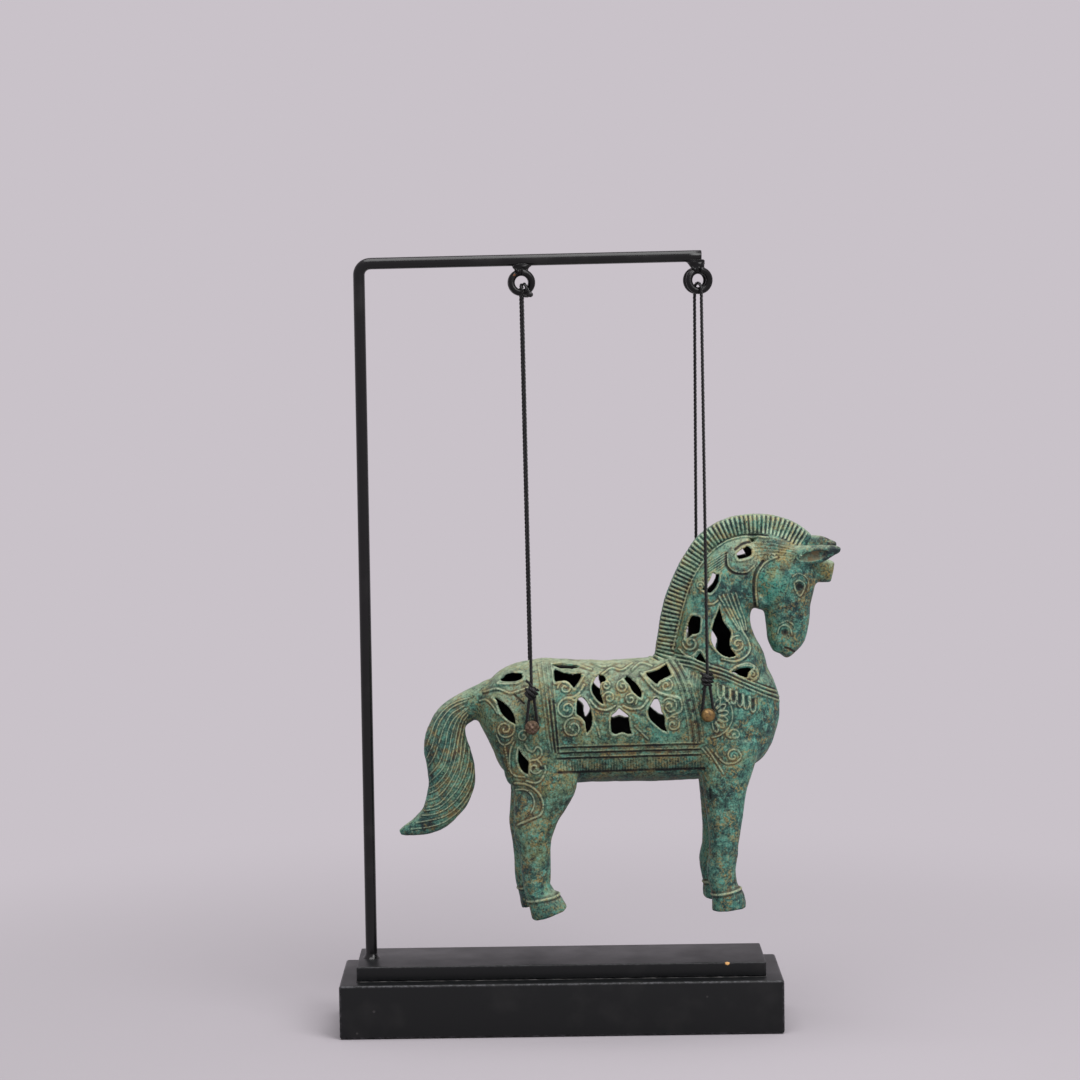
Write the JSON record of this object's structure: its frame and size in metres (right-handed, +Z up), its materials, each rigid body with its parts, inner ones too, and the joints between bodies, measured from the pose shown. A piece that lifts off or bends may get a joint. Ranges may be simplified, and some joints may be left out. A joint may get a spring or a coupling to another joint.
{
  "type": "hanging horse sculpture",
  "caption": "Hollow openwork bronze horse with a verdigris patina, slung on cords from a bent black bar on a stepped black wooden base.",
  "frame": {"origin": "middle of the base's underside", "axes": "+Z up, +X the way the horse faces, +Y away from the viewer of the picture"},
  "size_m": [0.2627, 0.0706, 0.404],
  "materials": {
    "black_wood": "satin black paint",
    "black_steel": "satin black paint",
    "zinc": "zinc plated",
    "cord": "braided cord",
    "verdigris": "cast bronze with a verdigris patina",
    "bronze": "worn bronze"
  },
  "bodies": {
    "stand": {"base_plinth": "black_wood", "base_step": "black_wood", "gallows_bar": "black_steel", "bar_washer": "zinc", "bar_nut": "zinc", "step_screw_left": "zinc", "step_screw_right": "zinc", "rear_eye": "black_steel", "front_eye": "black_steel"},
    "front_hitch": {"front_hitch": "cord"},
    "front_cords": {"front_cord_near": "cord", "front_cord_far": "cord"},
    "horse": {"horse_casting": "verdigris", "front_pin": "bronze", "rear_pin": "bronze"},
    "rear_hitch": {"rear_hitch": "cord"},
    "rear_cords": {"rear_cord_near": "cord", "rear_cord_far": "cord"}
  },
  "joints": [
    {"name": "side_swing", "type": "hinge", "parent": "stand", "child": "front_hitch", "pos_m": [0.0753, 0, 0.38308], "axis": [1, 0, 0], "range_deg": [-20, 20]},
    {"name": "fore_aft_swing", "type": "hinge", "parent": "front_hitch", "child": "front_cords", "pos_m": [0.0753, 0, 0.38308], "axis": [0, -1, 0], "range_deg": [-2.5, 20]},
    {"name": "horse_level", "type": "hinge", "parent": "front_cords", "child": "horse", "pos_m": [0.0769, 0, 0.1665], "axis": [0, -1, 0], "range_deg": [-20, 2.5]},
    {"name": "rear_side_swing", "type": "hinge", "parent": "stand", "child": "rear_hitch", "pos_m": [-0.0158, 0, 0.38331], "axis": [1, 0, 0], "range_deg": [-20, 20]},
    {"name": "rear_fore_aft_swing", "type": "hinge", "parent": "rear_hitch", "child": "rear_cords", "pos_m": [-0.0158, 0, 0.38331], "axis": [0, -1, 0], "range_deg": [-2.5, 20]}
  ],
  "couplings": [
    {"joint": "horse_level", "follows": "fore_aft_swing", "ratio": -1},
    {"joint": "rear_side_swing", "follows": "side_swing", "ratio": 1},
    {"joint": "rear_fore_aft_swing", "follows": "fore_aft_swing", "ratio": 0.97373}
  ]
}
